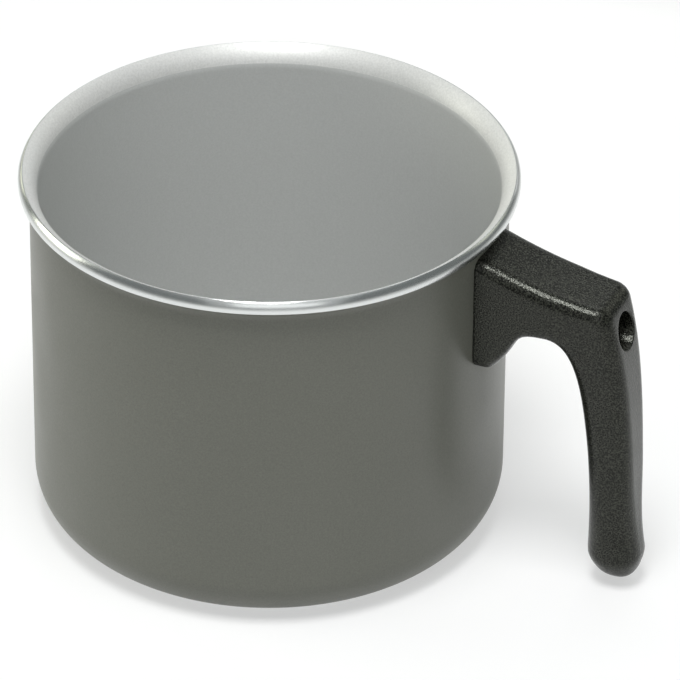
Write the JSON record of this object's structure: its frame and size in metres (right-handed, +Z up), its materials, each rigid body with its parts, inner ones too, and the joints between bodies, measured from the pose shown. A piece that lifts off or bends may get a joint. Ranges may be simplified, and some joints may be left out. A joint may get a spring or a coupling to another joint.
{
  "type": "milk pan",
  "caption": "Straight-sided milk pan of lined and lacquered aluminium, with a flared bare rim and a black moulded hook handle held by a long screw from its back.",
  "frame": {"origin": "centre of the base, in the plane the pan stands on", "axes": "+X from the pan's axis towards the handle, +Z up out of the mouth"},
  "size_m": [0.199, 0.1512, 0.1178],
  "materials": {
    "bare_aluminium": "turned, satin",
    "grey_lining": "smooth non-stick coat, satin",
    "taupe_lacquer": "baked lacquer, satin",
    "black_phenolic": "fine moulded grain",
    "plated_steel": "zinc plated"
  },
  "bodies": {
    "root": {"pan_body": "bare_aluminium", "inner_lining": "grey_lining", "outer_lacquer": "taupe_lacquer", "handle_stud": "bare_aluminium", "handle": "black_phenolic", "flat_washer": "plated_steel", "spring_washer": "plated_steel", "handle_screw": "plated_steel"}
  },
  "joints": []
}
